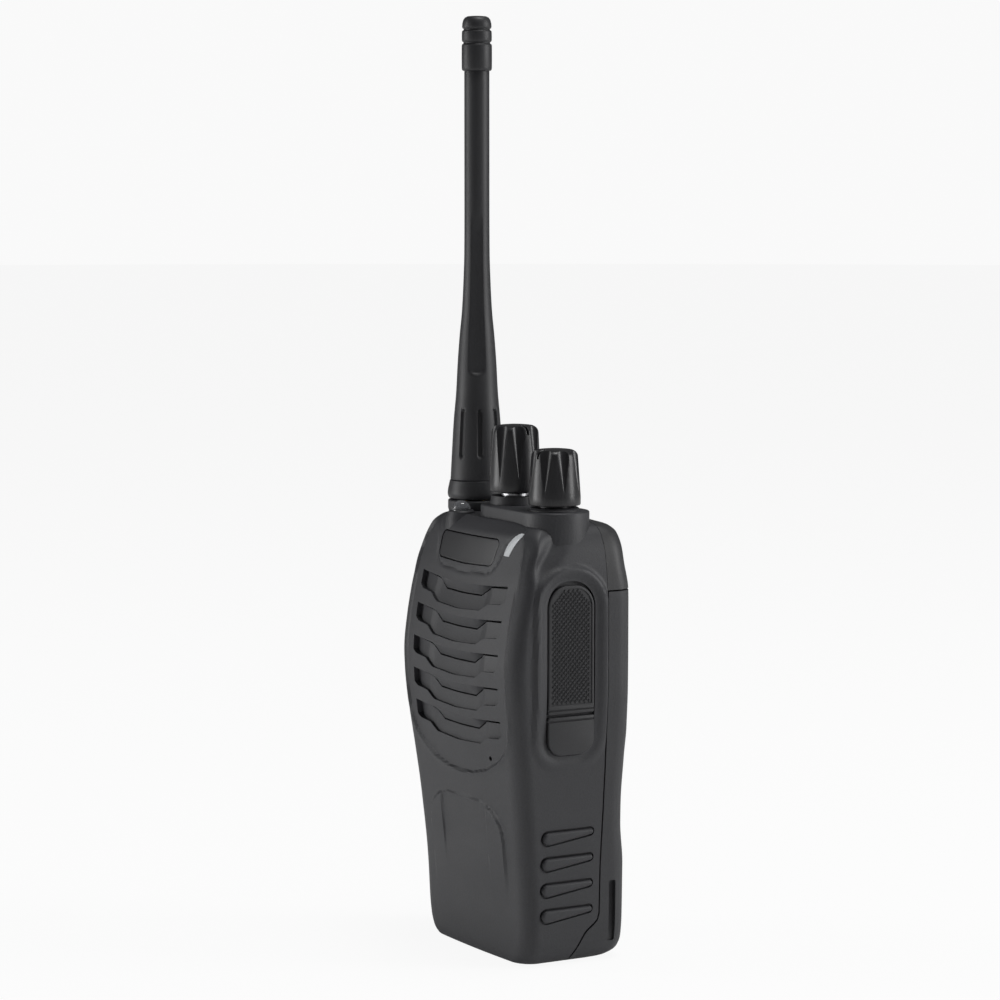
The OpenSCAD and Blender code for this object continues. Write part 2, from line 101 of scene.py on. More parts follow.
def show_by_ray(tree, for_light, for_camera, output):
    """Give camera rays one shader and all other rays another."""
    sight = tree.nodes.new("ShaderNodeLightPath")
    choose = tree.nodes.new("ShaderNodeMixShader")
    tree.links.new(sight.outputs["Is Camera Ray"], choose.inputs["Fac"])
    tree.links.new(for_light, choose.inputs[1])
    tree.links.new(for_camera, choose.inputs[2])
    tree.links.new(choose.outputs["Shader"], tree.nodes[output].inputs["Surface"])


bpy.ops.mesh.primitive_circle_add(vertices=96, radius=FLOOR_RADIUS, fill_type="NGON", location=(0, 0, 0))
floor = bpy.context.active_object
floor.name = "floor"
floor_paint = bpy.data.materials.new("pale_floor")
floor_paint.use_nodes = True
paper = floor_paint.node_tree
sheet = paper.nodes["Principled BSDF"]
sheet.inputs["Base Color"].default_value = (0.8, 0.8, 0.8, 1)
sheet.inputs["Roughness"].default_value = 0.9
sheet.inputs["Specular IOR Level"].default_value = 0.0
sheet.inputs["Emission Color"].default_value = WHITE
sheet.inputs["Emission Strength"].default_value = 0.18
bright = paper.nodes.new("ShaderNodeEmission")
bright.inputs["Strength"].default_value = 1.0
shadowed = paper.nodes.new("ShaderNodeMixShader")
shadowed.inputs["Fac"].default_value = 0.1
paper.links.new(bright.outputs["Emission"], shadowed.inputs[1])
paper.links.new(sheet.outputs["BSDF"], shadowed.inputs[2])
show_by_ray(paper, sheet.outputs["BSDF"], shadowed.outputs["Shader"], "Material Output")
floor.data.materials.append(floor_paint)
print("floor radius", FLOOR_RADIUS, "m")

# %% Backdrop
world = bpy.data.worlds.new("soft_room")
bpy.context.scene.world = world
world.use_nodes = True
sky = world.node_tree
room_light = sky.nodes["Background"]
room_light.inputs["Color"].default_value = WHITE
room_light.inputs["Strength"].default_value = 0.08
backdrop = sky.nodes.new("ShaderNodeBackground")
backdrop.inputs["Color"].default_value = WHITE
backdrop.inputs["Strength"].default_value = 0.95
show_by_ray(sky, room_light.outputs["Background"], backdrop.outputs["Background"], "World Output")
bpy.context.scene.view_settings.view_transform = "Standard"
print("world:", world.name)

# %% [markdown]
# ## Finishes
# Nearly all of the radio is one family of dark materials that differ in grain and gloss: a
# spark-eroded charcoal plastic, satin knobs, matte rubber. A colour alone would look flat, so
# each finish has a fine procedural grain in its bump and a little change in its roughness.
# Patterns read object coordinates, which are the same metres as the model.

# %% A helper for procedural finishes
GRAIN_COORDS = "Object"


def finish(name, color, rough, metallic=0.0, grain=0.0, grain_mm=0.35, mottle=0.0, coat=0.0):
    """A dark or bright finish with fine grain in its bump and broad patches in its roughness."""
    plain = bpy.data.materials.get(name)
    if plain:  # the frame brings a flat material of the same name
        plain.name = name + "_plain"
    mat = bpy.data.materials.new(name)
    mat.use_nodes = True
    tree = mat.node_tree
    shader = tree.nodes["Principled BSDF"]
    shader.inputs["Base Color"].default_value = (*color, 1)
    shader.inputs["Metallic"].default_value = metallic
    shader.inputs["Roughness"].default_value = rough
    shader.inputs["Coat Weight"].default_value = coat
    place = tree.nodes.new("ShaderNodeTexCoord")
    fine = tree.nodes.new("ShaderNodeTexNoise")
    fine.inputs["Scale"].default_value = 1000.0 / grain_mm
    fine.inputs["Detail"].default_value = 2.0
    tree.links.new(place.outputs[GRAIN_COORDS], fine.inputs["Vector"])
    if grain:
        bump = tree.nodes.new("ShaderNodeBump")
        bump.inputs["Strength"].default_value = min(1.0, grain)
        bump.inputs["Distance"].default_value = 0.00005
        tree.links.new(fine.outputs["Fac"], bump.inputs["Height"])
        tree.links.new(bump.outputs["Normal"], shader.inputs["Normal"])
    broad = tree.nodes.new("ShaderNodeTexNoise")
    broad.inputs["Scale"].default_value = 60.0
    broad.inputs["Detail"].default_value = 3.0
    tree.links.new(place.outputs[GRAIN_COORDS], broad.inputs["Vector"])
    spread = tree.nodes.new("ShaderNodeMapRange")
    spread.inputs["To Min"].default_value = max(0.02, rough - 0.06)
    spread.inputs["To Max"].default_value = min(1.0, rough + 0.06)
    tree.links.new(broad.outputs["Fac"], spread.inputs["Value"])
    tree.links.new(spread.outputs["Result"], shader.inputs["Roughness"])
    if mottle:
        tint = tree.nodes.new("ShaderNodeMix")
        tint.data_type = "RGBA"
        tint.inputs["A"].default_value = (*[c * (1 - mottle) for c in color], 1)
        tint.inputs["B"].default_value = (*[min(1, c * (1 + mottle)) for c in color], 1)
        tree.links.new(fine.outputs["Fac"], tint.inputs["Factor"])
        tree.links.new(tint.outputs["Result"], shader.inputs["Base Color"])
    return mat


# %% The finishes of the radio
case_plastic = finish("case_plastic", (0.035, 0.0355, 0.0395), 0.52, grain=0.6, grain_mm=0.4, mottle=0.25)
battery_plastic = finish("battery_plastic", (0.033, 0.0335, 0.037), 0.54, grain=0.6, grain_mm=0.4,
                         mottle=0.25)
chassis_metal = finish("chassis_metal", (0.034, 0.034, 0.036), 0.5, grain=0.5, grain_mm=0.45, mottle=0.2)
knob_plastic = finish("knob_plastic", (0.018, 0.018, 0.02), 0.33, grain=0.15, grain_mm=0.3, mottle=0.1)
nameplate_film = finish("nameplate_film", (0.026, 0.0263, 0.029), 0.4, grain=0.1, grain_mm=0.25, mottle=0.1)
cover_rubber = finish("cover_rubber", (0.029, 0.0293, 0.032), 0.55, grain=0.35, grain_mm=0.25, mottle=0.2)
key_rubber = finish("key_rubber", (0.021, 0.021, 0.022), 0.55, grain=0.3, grain_mm=0.25, mottle=0.2)
antenna_rubber = finish("antenna_rubber", (0.024, 0.0243, 0.027), 0.48, grain=0.3, grain_mm=0.3, mottle=0.2)
mic_rubber = finish("mic_rubber", (0.02, 0.02, 0.02), 0.7, grain=0.3, mottle=0.2)
felt = finish("felt", (0.012, 0.012, 0.012), 0.95, grain=1.0, grain_mm=0.2, mottle=0.5)
cone_paper = finish("cone_paper", (0.03, 0.028, 0.025), 0.85, grain=0.8, grain_mm=0.5, mottle=0.3)
basket_steel = finish("basket_steel", (0.2, 0.2, 0.21), 0.4, metallic=1.0, grain=0.1, mottle=0.1)
magnet_steel = finish("magnet_steel", (0.5, 0.51, 0.53), 0.3, metallic=1.0, grain=0.1, mottle=0.08)
circuit_board = finish("circuit_board", (0.012, 0.09, 0.04), 0.35, grain=0.2, grain_mm=0.8, mottle=0.35,
                       coat=0.3)
shield_tin = finish("shield_tin", (0.62, 0.62, 0.63), 0.32, metallic=1.0, grain=0.12, grain_mm=1.2,
                    mottle=0.06)
screw_steel = finish("screw_steel", (0.55, 0.56, 0.58), 0.3, metallic=1.0, grain=0.1, mottle=0.08)
switch_metal = finish("switch_metal", (0.58, 0.58, 0.6), 0.34, metallic=1.0, grain=0.1, mottle=0.08)
# Black finish of the control nuts. The control shafts get it too, as painted shade: it darkens the gap under
# the knobs instead of showing the shafts' own metal.
nut_black = finish("nut_black", (0.03, 0.03, 0.032), 0.35, metallic=0.6, grain=0.15, mottle=0.1)
jack_plastic = finish("jack_plastic", (0.016, 0.016, 0.016), 0.45, grain=0.2, mottle=0.1)
gold_contact = finish("gold_contact", (0.83, 0.62, 0.27), 0.26, metallic=1.0, grain=0.08, mottle=0.05)
cell_foil = finish("cell_foil", (0.6, 0.61, 0.63), 0.36, metallic=0.9, grain=0.25, grain_mm=1.5, mottle=0.08)

# %% Clear finishes
light_pipe = finish("light_pipe", (0.6, 0.62, 0.64), 0.3, grain=0.1, mottle=0.08)
milky = light_pipe.node_tree.nodes["Principled BSDF"]
milky.inputs["Subsurface Weight"].default_value = 0.3
milky.inputs["Subsurface Radius"].default_value = (0.002, 0.002, 0.002)
lamp_lens = finish("lamp_lens", (0.95, 0.97, 1.0), 0.06)
glassy = lamp_lens.node_tree.nodes["Principled BSDF"]
glassy.inputs["Transmission Weight"].default_value = 0.9
glassy.inputs["IOR"].default_value = 1.5
print("finishes:", len(bpy.data.materials))

# %% Paint the CAD nodes with their slot's finish
slot_of = {part["node"]: part["material_slot"] for part in frame["record"]["subparts"]}
for node, obj in nodes.items():
    obj.data.materials.clear()
    obj.data.materials.append(bpy.data.materials[slot_of[node]])
print("painted", len(nodes), "nodes")

# %% [markdown]
# ## Helpers for modelling
# Every new piece starts as a primitive. Most are then given their shape vertex by vertex in a
# named helper: a round piece is a ball whose rings are set to a profile, and a flat piece is
# a disc whose rim is set to an outline and extruded. Cuts are Boolean modifiers, which are
# applied at once, and edges get a small bevel, because real moulded edges catch the light.

# %% Mesh helpers
MM = 0.001


def deselect():
    if bpy.context.mode != "OBJECT":
        bpy.ops.object.mode_set(mode="OBJECT")
    bpy.ops.object.select_all(action="DESELECT")


def points(obj):
    co = np.empty(len(obj.data.vertices) * 3)
    obj.data.vertices.foreach_get("co", co)
    return co.reshape(-1, 3)


def set_points_mm(obj, co):
    obj.data.vertices.foreach_set("co", (np.asarray(co) * MM).ravel())
    obj.data.update()


def take(name):
    obj = bpy.context.active_object
    obj.name = obj.data.name = name
    return obj


def only(obj):
    deselect()
    obj.select_set(True)
    bpy.context.view_layer.objects.active = obj


def flip_if_inside_out(obj):
    only(obj)
    bpy.ops.object.mode_set(mode="EDIT")
    bpy.ops.mesh.select_all(action="SELECT")
    bpy.ops.mesh.normals_make_consistent(inside=False)
    bpy.ops.object.mode_set(mode="OBJECT")


def combine(target, cutter, how):
    only(target)
    cut = target.modifiers.new(how.lower(), "BOOLEAN")
    cut.operation, cut.object, cut.solver = how, cutter, "MANIFOLD"
    bpy.ops.object.modifier_apply(modifier=cut.name)
    bpy.data.objects.remove(cutter)
    return target


def cut(target, *cutters):
    for cutter in cutters:
        combine(target, cutter, "DIFFERENCE")
    return target


def fuse(target, *others):
    for other in others:
        combine(target, other, "UNION")
    return target


def soften(obj, width, segments=2, angle=30):
    only(obj)
    edge = obj.modifiers.new("edge", "BEVEL")
    edge.width, edge.segments = width * MM, segments
    edge.limit_method, edge.angle_limit = "ANGLE", math.radians(angle)
    edge.use_clamp_overlap = True
    bpy.ops.object.modifier_apply(modifier=edge.name)
    return obj


def smooth_shade(obj, angle=24):
    only(obj)
    bpy.ops.object.shade_smooth_by_angle(angle=math.radians(angle))
    return obj


def settle(obj, body, material, *replaced):
    """Give a finished piece its material, its body and the CAD nodes it stands for."""
    obj.data.materials.clear()
    obj.data.materials.append(material)
    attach(obj, body)
    if replaced:
        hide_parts(*replaced)
    print(obj.name, len(obj.data.polygons), "faces")
    return obj


# %% Solids from outlines and profiles
def prism(name, outline, axis, low, high):
    """A straight solid with this outline: (y, z), (x, z) or (x, y) for axis X, Y or Z, in mm."""
    deselect()
    bpy.ops.mesh.primitive_circle_add(vertices=len(outline), fill_type="NGON")
    obj = take(name)
    flat = np.asarray(outline, float)
    level = np.full(len(flat), float(low))
    order = {"X": (level, flat[:, 0], flat[:, 1]),
             "Y": (flat[:, 0], level, flat[:, 1]),
             "Z": (flat[:, 0], flat[:, 1], level)}
    set_points_mm(obj, np.column_stack(order[axis]))
    way = {"X": (1, 0, 0), "Y": (0, 1, 0), "Z": (0, 0, 1)}[axis]
    bpy.ops.object.mode_set(mode="EDIT")
    bpy.ops.mesh.select_all(action="SELECT")
    bpy.ops.mesh.extrude_region_move(TRANSFORM_OT_translate={"value": [c * (high - low) * MM for c in way]})
    bpy.ops.object.mode_set(mode="OBJECT")
    flip_if_inside_out(obj)
    return obj


def block(name, low, high):
    """A box between two corners, in mm."""
    deselect()
    bpy.ops.mesh.primitive_cube_add(size=1)
    obj = take(name)
    low, high = np.array(low, float), np.array(high, float)
    set_points_mm(obj, (points(obj) + 0.5) * (high - low) + low)
    return obj


def ring_numbers(co, rings):
    """The ring each point of a unit ball is on, counted from 0 at the bottom pole."""
    return np.rint(np.arccos(np.clip(-co[:, 2], -1, 1)) / math.pi * (rings + 1)).astype(int)


def turned(name, profile, x, y, segments=64):
    """A round solid on an upright axis; profile is (radius, z) from the bottom to the top, in mm."""
    deselect()
    bpy.ops.mesh.primitive_uv_sphere_add(segments=segments, ring_count=len(profile) + 1, radius=1)
    obj = take(name)
    co = points(obj)
    ring = ring_numbers(co, len(profile))
    radius = np.array([0.0] + [p[0] for p in profile] + [0.0])[ring]
    height = np.array([profile[0][1]] + [p[1] for p in profile] + [profile[-1][1]])[ring]
    turn = np.arctan2(co[:, 1], co[:, 0])
    set_points_mm(obj, np.column_stack([x + radius * np.cos(turn), y + radius * np.sin(turn), height]))
    return obj


def arc(x, y, r, start, end, n):
    """Points of an arc, with its start and end in degrees."""
    turns = np.radians(np.linspace(start, end, n + 1))
    return [(x + r * math.cos(a), y + r * math.sin(a)) for a in turns]


def rounded(low, high, r, n=8):
    """A rectangle with round corners, as an outline."""
    (x0, y0), (x1, y1) = low, high
    return (arc(x1 - r, y1 - r, r, 0, 90, n) + arc(x0 + r, y1 - r, r, 90, 180, n)
            + arc(x0 + r, y0 + r, r, 180, 270, n) + arc(x1 - r, y0 + r, r, 270, 360, n))


# %% [markdown]
# ## The outer form
# The real case is a soft, waisted box: its width, front and back each follow a curve with
# height, and every level is a rectangle with round corners. A modeller could push a cube
# about by eye, but both shells have to meet along one seam, so the form is written once as
# curves and a ball is wrapped onto it. Shallow moulded shapes, too soft for a cut, are a
# relief that pushes the skin in or out.

# %% Curves of the form
HEIGHT = 112.0
HALF_WIDTH = [(0, 21.4), (0.7, 23.3), (2.6, 25.2), (5.5, 26.3), (10, 26.8), (25, 27.1), (35, 27.6),
              (42, 28.0), (50, 28.7), (60, 29.3), (70, 29.9), (80, 30), (92, 30), (99, 29.6), (104.5, 28.7),
              (108.6, 27), (111, 24.6), (112, 21)]
FRONT = [(0, 10.5), (0.7, 11.9), (2.6, 12.4), (20, 13.3), (35, 14.6), (50, 16.3), (60, 17.7), (70, 18.7),
         (76, 18.9), (85, 18.3), (91, 17.5), (96, 16.5), (101, 15.5), (108.6, 13.4), (111, 11.2), (112, 9.6)]
BACK = [(0, 13), (0.7, 15.6), (2.6, 17.7), (5.5, 18.2), (24, 18.3), (35, 17.3), (42, 17.2), (52, 17.5),
        (60, 18), (95, 18), (102, 17.1), (106, 16.9), (109.3, 16.4), (111, 15), (112, 12.4)]
CORNER = 5.0
SEAM = 9.6
END_Y = 2.0


def through(table, z):
    """A smooth curve through the table's points that never overshoots them."""
    x, y = np.array(table, float).T
    step = np.diff(x)
    slope = np.diff(y) / step
    lean = np.zeros(len(x))
    both = slope[:-1] * slope[1:]
    safe = np.where(np.abs(slope[:-1] + slope[1:]) > 1e-9, slope[:-1] + slope[1:], 1.0)
    lean[1:-1] = np.where(both > 0, 2 * both / safe, 0)
    lean[0], lean[-1] = slope[0], slope[-1]
    z = np.clip(z, x[0], x[-1])
    i = np.clip(np.searchsorted(x, z) - 1, 0, len(step) - 1)
    t = (z - x[i]) / step[i]
    return ((1 + 2 * t) * (1 - t) ** 2 * y[i] + t * (1 - t) ** 2 * step[i] * lean[i]
            + t * t * (3 - 2 * t) * y[i + 1] + t * t * (t - 1) * step[i] * lean[i + 1])


def ease(start, end, value):
    """A soft step from 0 at start to 1 at end."""
    t = np.clip((value - start) / (end - start), 0, 1)
    return t * t * (3 - 2 * t)


def crown(z):
    """How strongly the face curves from side to side: more towards the top."""
    return 0.0013 + 0.0012 * ease(74, 96, z) + 0.0016 * ease(97, 109, z)


# %% Wrap a ball onto the form
def stations(front, side, back, corner_front, corner_back):
    """Where the points of one level stand: (part, share along it), going round."""
    counts = [("front", front), ("front_right", corner_front), ("right", side), ("back_right", corner_back),
              ("back", back), ("back_left", corner_back), ("left", side), ("front_left", corner_front)]
    return [(part, i / n) for part, n in counts for i in range(n)]


def form_levels():
    """Heights of the rings: close together at both rims, half a millimetre apart between them."""
    foot = [0, 0.12, 0.3, 0.5, 0.7, 1.0, 1.4, 1.9, 2.5, 3.2, 4.0, 4.8]
    top = [108.4, 108.9, 109.4, 109.9, 110.3, 110.7, 111.0, 111.3, 111.55, 111.8, HEIGHT]
    return foot + list(np.arange(5.5, 108.2, 0.5)) + top


LEVELS = form_levels()
CAPS = [0.3, 0.6, 0.85, 0.96]


def skin(name, loop, inset=0.0, deep=0.0, relief=None):
    """The closed form, drawn in by inset at the sides and by deep at front, back and ends."""
    rings = [(0.0, t) for t in CAPS] + [(z, 1.0) for z in LEVELS] + [(HEIGHT, t) for t in CAPS[::-1]]
    deselect()
    bpy.ops.mesh.primitive_uv_sphere_add(segments=len(loop), ring_count=len(rings) + 1, radius=1)
    obj = take(name)
    co = points(obj)
    ring = ring_numbers(co, len(rings))
    spot = np.rint(np.arctan2(co[:, 1], co[:, 0]) / (2 * math.pi) * len(loop)).astype(int) % len(loop)
    z = np.array([0.0] + [r[0] for r in rings] + [HEIGHT])[ring]
    share = np.array([0.0] + [r[1] for r in rings] + [0.0])[ring]
    w, f, b = through(HALF_WIDTH, z) - inset, through(FRONT, z) - deep, through(BACK, z) - deep
    r = max(CORNER - inset, 0.8)
    part = np.array([s[0] for s in loop])[spot]
    t = np.array([s[1] for s in loop])[spot]
    x, y, nx, ny = (np.zeros(len(co)) for _ in range(4))
    for here, x0, x1, y0, y1, out in (("front", -1, 1, -1, -1, (0, -1)), ("right", 1, 1, -1, 1, (1, 0)),
                                      ("back", 1, -1, 1, 1, (0, 1)), ("left", -1, -1, 1, -1, (-1, 0))):
        m = part == here
        if here in ("front", "back"):
            x[m] = (x0 + (x1 - x0) * t[m]) * (w - r)[m]
            y[m] = -f[m] if here == "front" else b[m]
        else:
            start, end = (-(f - r), b - r) if here == "right" else (b - r, -(f - r))
            x[m] = x0 * w[m]
            y[m] = start[m] + (end - start)[m] * t[m]
        nx[m], ny[m] = out
    for here, sx, sy, start in (("front_right", 1, -1, -90), ("back_right", 1, 1, 0),
                                ("back_left", -1, 1, 90), ("front_left", -1, -1, 180)):
        m = part == here
        a = np.radians(start + 90 * t[m])
        nx[m], ny[m] = np.cos(a), np.sin(a)
        middle = (b - r)[m] if sy > 0 else -(f - r)[m]
        x[m] = sx * (w - r)[m] + r * nx[m]
        y[m] = middle + r * ny[m]
    y += np.where(ny < 0, crown(z) * x ** 2 * -ny, 0)
    if relief is not None:
        push = relief(x, y, z, nx, ny) * (share > 0.99)
        x, y = x + nx * push, y + ny * push
    x, y = x * share, (y - END_Y) * share + END_Y
    z = np.where(z < HEIGHT / 2, z + deep, z - deep)
    set_points_mm(obj, np.column_stack([x, y, z]))
    return obj


DENSE_FRONT = stations(104, 40, 8, 14, 4)
DENSE_BACK = stations(8, 22, 60, 4, 14)
COARSE = stations(16, 10, 16, 5, 5)
CORE = stations(50, 12, 8, 8, 3)
print("stations:", len(DENSE_FRONT), len(DENSE_BACK), len(COARSE), len(CORE))

# %% [markdown]
# ## Relief of the front and the jack side
# The face of the radio is a panel set in by a fraction of a millimetre. Its border runs down
# both sides and sweeps under the speaker in a wide U. Below it stands a raised pad with an
# arched top, with a sunk strip down its middle. On the jack side a rounded lip runs
# round the cover and the case is scooped out above it, for a fingertip.

# %% Distances to outlines
def mirrored(half):
    """A closed outline from its right half, listed from the bottom up."""
    return half + [(-x, z) for x, z in reversed(half)]


def edge_distance(u, v, outline, closed=True):
    """Distance of every point from an outline, negative inside a closed one."""
    pts = np.array(outline, float)
    near = np.full(len(u), 1e9)
    odd = np.zeros(len(u), bool)
    last = len(pts) if closed else len(pts) - 1
    for i in range(last):
        (ax, az), (bx, bz) = pts[i], pts[(i + 1) % len(pts)]
        dx, dz = bx - ax, bz - az
        t = np.clip(((u - ax) * dx + (v - az) * dz) / max(dx * dx + dz * dz, 1e-12), 0, 1)
        near = np.minimum(near, np.hypot(u - ax - t * dx, v - az - t * dz))
        if closed and az != bz:
            odd ^= ((az > v) != (bz > v)) & (u < dx * (v - az) / dz + ax)
    return np.where(odd, -near, near)


# %% The relief of the front shell
FACE_PANEL = mirrored([(0.01, 47.5), (6, 47.9), (13, 49.4), (19, 52.2), (22.6, 55),
                       (24.6, 58.5), (25.3, 62.5), (25.6, 80), (25.5, 97), (25.0, 103),
                       (23.8, 107.2), (21.8, 110.4), (19.5, 113)])
PAD = mirrored([(0.01, 12), (18.6, 12), (18.8, 31), (18.2, 34.6), (16.4, 37.3), (13.4, 39.3), (8.5, 40.6),
                (0.01, 41)])
BROW_RIGHT = [(25, 112.9), (21.5, 110.9), (19, 109), (17.4, 107), (16.5, 105), (15.8, 103), (14.8, 101.2),
              (13.2, 99.8), (10.5, 99.1)]
BROW = BROW_RIGHT + [(0, 98.6)] + [(-x, z) for x, z in reversed(BROW_RIGHT)]
PANEL_STEP, PANEL_BEAD = 0.55, 0.14
PAD_RISE, STRIP_DEPTH, BROW_DEPTH = 0.62, 0.42, 0.32
LIP_RISE = 0.8
SCOOP_DEPTH, SCOOP_Y, SCOOP_Z = 1.5, -6.8, 104.4
COVER_SEAT = (arc(-0.6, 91.7, 6.6, 0, 90, 10) + arc(-1.4, 91.7, 6.6, 90, 180, 10)
              + arc(-3.5, 58.6, 4.5, 180, 270, 8) + arc(1.5, 58.6, 4.5, 270, 360, 8))


def front_relief(x, y, z, nx, ny):
    """How far each point of the skin is pushed out: the panel, the pad and the jack side."""
    push = np.zeros(len(x))
    facing = np.flatnonzero(ny < -0.25)
    u, v = x[facing], z[facing]
    panel = edge_distance(u, v, FACE_PANEL)
    push[facing] -= PANEL_STEP * ease(0.35, -0.25, panel)
    push[facing] += PANEL_BEAD * np.exp(-((panel - 0.75) / 0.35) ** 2)
    fade = ease(14, 29, v)
    pad = edge_distance(u, v, PAD)
    push[facing] += PAD_RISE * ease(0.35, -0.45, pad) * fade
    strip = ease(11.55, 11.15, np.abs(u)) * ease(21, 32, v) * ease(0.2, -0.8, pad)
    push[facing] -= STRIP_DEPTH * strip
    brow = edge_distance(u, v, BROW, closed=False)
    push[facing] -= BROW_DEPTH * np.exp(-(brow / 0.36) ** 2)
    side = np.flatnonzero(nx > 0.55)
    u, v = y[side], z[side]
    seat = edge_distance(u, v, COVER_SEAT)
    lip = LIP_RISE * ease(0.2, 2.5, seat) * ease(4.3, 3.0, seat) * (0.45 + 0.55 * ease(52, 66, v))
    along = (u - SCOOP_Y) * 0.65 + (v - SCOOP_Z) * 0.76
    across = -(u - SCOOP_Y) * 0.76 + (v - SCOOP_Z) * 0.65
    lip -= SCOOP_DEPTH * np.exp(-((along / 6.0) ** 4) - (across / 2.1) ** 2)
    push[side] += lip * ease(0.55, 0.95, nx[side])
    return push


# %% [markdown]
# ## The front shell
# The shell is the front part of the form, hollow, with a wall of about 1.9 mm. A zone is a side
# view of the part to keep, so its edge is the seam. Speaker recesses, openings and seats are
# cut with solids made for each. A recess is a trough: its ceiling is a slanted louvre, a slit
# runs below the louvre, and its floor climbs towards the face and ends in a low step.

# %% Shell and cavity
FRONT_ZONE = [(-30, -5), (2, -5), (2, 1.6), (2.3, 2.6), (3.1, 4.2), (4.3, 6.6), (5, 7.8), (5.8, 8.7),
              (7.8, 10.2), (8.6, 11), (9.05, 12.6), (9.2, 25), (SEAM, 40), (SEAM, 130), (-30, 130)]
CAVITY_ZONE = [(-20, 2), (0.2, 2), (1.2, 6.8), (3.8, 12.4), (7.2, 15.4), (9.9, 15.4), (9.9, 120), (-20, 120)]

case = skin("front_case_shell", DENSE_FRONT, relief=front_relief)
combine(case, prism("zone", FRONT_ZONE, "X", -45, 45), "INTERSECT")
cavity = skin("cavity", COARSE, inset=1.9, deep=2.4)
combine(cavity, prism("zone", CAVITY_ZONE, "X", -45, 45), "INTERSECT")
cut(case, cavity)
print("shell:", len(case.data.polygons), "faces")

# %% Platform, collar and lamp boss
CTL_Y = 0.6
CHANNEL_X, VOLUME_X, ANTENNA_X = -0.7, 19.0, -20.4
LAMP_X, LAMP_Y = -13.0, -8.3

platform_outline = arc(VOLUME_X, CTL_Y, 8.8, -90, 90, 24) + arc(CHANNEL_X, CTL_Y, 8.8, 90, 270, 24)
platform = prism("platform", platform_outline, "Z", 106, 115)
soften(platform, 0.45, 4, 60)
COLLAR = [(5.2, 108), (6.4, 110.4), (7.4, 111.6), (7.6, 112.4), (7.6, 114.3), (7.3, 114.6), (3, 114.6)]
collar = turned("collar", COLLAR, ANTENNA_X, CTL_Y)
BOSS = [(4.2, 108), (4.0, 110.8), (3.5, 111.9), (3.4, 112.4), (3.1, 112.7), (2, 112.7)]
boss = turned("boss", BOSS, LAMP_X, LAMP_Y, 40)
feet = [turned("foot", [(5.3, 114), (6.5, 114), (6.5, 115.3), (6.0, tall), (5.3, tall)], x, CTL_Y)
        for x, tall in ((CHANNEL_X, 117.2), (VOLUME_X, 115.8))]
fuse(case, platform, collar, boss, *feet)
print("top features joined:", len(case.data.polygons), "faces")

# %% Speaker recesses
SLOT_TOP, SLOT_PITCH, SLOTS = 96.9, 8.47, 5
HALF_COLUMNS = [1, 3, 5, 7, 8.9, 11, 12.4, 13.6, 14.6, 16, 18, 20, 21.2, 21.8]
COLUMNS = [-x for x in reversed(HALF_COLUMNS)] + HALF_COLUMNS
OUTSIDE = -26.0


def smile(x):
    """Height of a recess's upper edge, measured from its top, at this place across."""
    return -1.0 * (1 - (abs(x) / 22) ** 2)


def slit_line(x):
    """Height where the louvre ends and the slit begins, measured from the top of the recess."""
    return float(np.interp(abs(x), [0, 8.9, 13.6, 22], [-3.55, -3.35, -0.75, -0.35]))


def floor_line(x):
    """Height of a recess's lower edge, measured from its top."""
    return float(np.interp(abs(x), [0, 11.4, 14.6, 20.5, 22], [-7.7, -7.1, -5.2, -4.7, -3.6]))


def recess_corners(x):
    """The six corners of a recess at this place across: (height from its top, depth)."""
    deep = float(np.interp(abs(x), [0, 12.4, 13.6, 15.4, 20.6], [1.55, 1.55, 1.0, 1.15, 1.5]))
    step = float(np.interp(abs(x), [0, 14.6, 21], [0.75, 0.75, 1.45]))
    return [(smile(x), OUTSIDE), (smile(x), -0.02), (slit_line(x), min(deep, 1.5)),
            (slit_line(x) - 0.55, deep), (floor_line(x), step), (floor_line(x), OUTSIDE)]


def trough(top):
    """One recess cutter: a ball whose rings are the columns, each with the same six corners."""
    deselect()
    bpy.ops.mesh.primitive_uv_sphere_add(segments=6, ring_count=len(COLUMNS) + 1)
    obj = take("trough")
    co = points(obj)
    column = ring_numbers(co, len(COLUMNS)) - 1
    corner = np.floor(np.arctan2(co[:, 1], co[:, 0]) / math.pi * 3 + 0.25).astype(int) % 6
    out = []
    for n, which in zip(column, corner):
        pole = n in (-1, len(COLUMNS))
        x = COLUMNS[int(np.clip(n, 0, len(COLUMNS) - 1))]
        dz, depth = (-2.5, -10.0) if pole else recess_corners(x)[which]
        z = top + dz
        face = float(crown(z)) * x * x + PANEL_STEP - float(through(FRONT, np.array(z)))
        out.append((x, depth if depth == OUTSIDE else face + depth, z))
    set_points_mm(obj, out)
    flip_if_inside_out(obj)
    return obj


def slit(top):
    """The opening in the back wall of a recess."""
    upper = [(x, top + slit_line(x) - 0.07) for x in COLUMNS[2:-2]]
    lower = [(x, z - 0.4) for x, z in reversed(upper)]
    return prism("slit", upper + lower, "Y", -22, -8)


for k in range(SLOTS):
    top = SLOT_TOP - k * SLOT_PITCH
    cut(case, trough(top), slit(top))
print("speaker recesses cut:", len(case.data.polygons), "faces")

# %% [markdown]
# ## Openings and seats
# The nameplate and the status light sit in pockets whose floor follows the face, so each
# pocket is an outline prism with the form, drawn in, taken away from it. The ribs on the
# side stand in grooves of the same outline, a little larger.

# %% Pockets of the nameplate and the status light
def plate_outline(g=0.0):
    return (arc(12.6, 106.2, 1.4 + g, 0, 90, 6) + arc(-13.2, 106.2, 1.4 + g, 90, 180, 6)
            + arc(-12.6, 102.9, 1.7 + g, 190, 262, 6) + [(-0.3, 100.8 - g)]
            + arc(11.6, 102.9, 1.7 + g, 278, 350, 6))


def light_outline(g=0.0):
    return arc(23.6, 104.4, 6.2 + g, 183, 118, 16) + arc(33, 100.4, 14.0 - g, 137.5, 165, 16)


